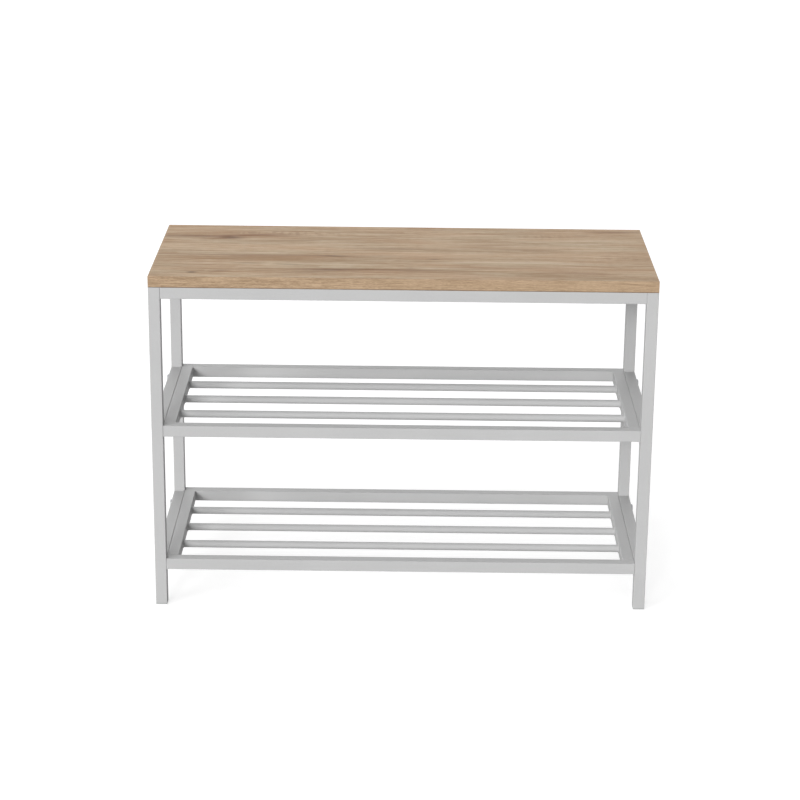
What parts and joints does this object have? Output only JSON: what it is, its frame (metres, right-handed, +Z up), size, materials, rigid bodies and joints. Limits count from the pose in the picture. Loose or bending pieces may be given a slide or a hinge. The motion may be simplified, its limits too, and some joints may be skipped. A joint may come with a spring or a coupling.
{
  "type": "entryway bench",
  "caption": "Entryway bench with a flat oak faced seat board on a slim grey square tube frame, and two open shelves of round rods for shoes.",
  "frame": {"origin": "on the floor, under the middle of the bench", "axes": "+X along the bench to the right as seen from the front, +Y from the front to the back, +Z up"},
  "size_m": [0.655, 0.268, 0.4525],
  "materials": {
    "oak_board": "matt oak decor, grain along the bench",
    "oak_band": "matt oak decor edge band, grain along the edge",
    "grey_paint": "satin light grey powder coat",
    "foot_plastic": "matt grey moulded plastic",
    "zinc_steel": "zinc plated"
  },
  "bodies": {
    "root": {"seat_board": "oak_board", "edge_band_front": "oak_band", "edge_band_back": "oak_band", "edge_band_left": "oak_band", "edge_band_right": "oak_band", "leg_front_left": "grey_paint", "leg_back_left": "grey_paint", "leg_front_right": "grey_paint", "leg_back_right": "grey_paint", "side_rail_low_left": "grey_paint", "side_rail_low_right": "grey_paint", "side_rail_mid_left": "grey_paint", "side_rail_mid_right": "grey_paint", "side_rail_top_left": "grey_paint", "side_rail_top_right": "grey_paint", "top_frame_front_rail": "grey_paint", "top_frame_back_rail": "grey_paint", "top_frame_end_left": "grey_paint", "top_frame_end_right": "grey_paint", "mid_shelf_front_rail": "grey_paint", "mid_shelf_back_rail": "grey_paint", "mid_shelf_end_left": "grey_paint", "mid_shelf_end_right": "grey_paint", "mid_shelf_rod_front": "grey_paint", "mid_shelf_rod_centre": "grey_paint", "mid_shelf_rod_back": "grey_paint", "low_shelf_front_rail": "grey_paint", "low_shelf_back_rail": "grey_paint", "low_shelf_end_left": "grey_paint", "low_shelf_end_right": "grey_paint", "low_shelf_rod_front": "grey_paint", "low_shelf_rod_centre": "grey_paint", "low_shelf_rod_back": "grey_paint", "foot_cap_front_left": "foot_plastic", "foot_cap_back_left": "foot_plastic", "foot_cap_front_right": "foot_plastic", "foot_cap_back_right": "foot_plastic", "frame_bolts_low": "zinc_steel", "frame_bolts_mid": "zinc_steel", "frame_bolts_top": "zinc_steel", "thread_inserts_low": "zinc_steel", "thread_inserts_mid": "zinc_steel", "thread_inserts_top": "zinc_steel", "board_screws": "zinc_steel"}
  },
  "joints": []
}
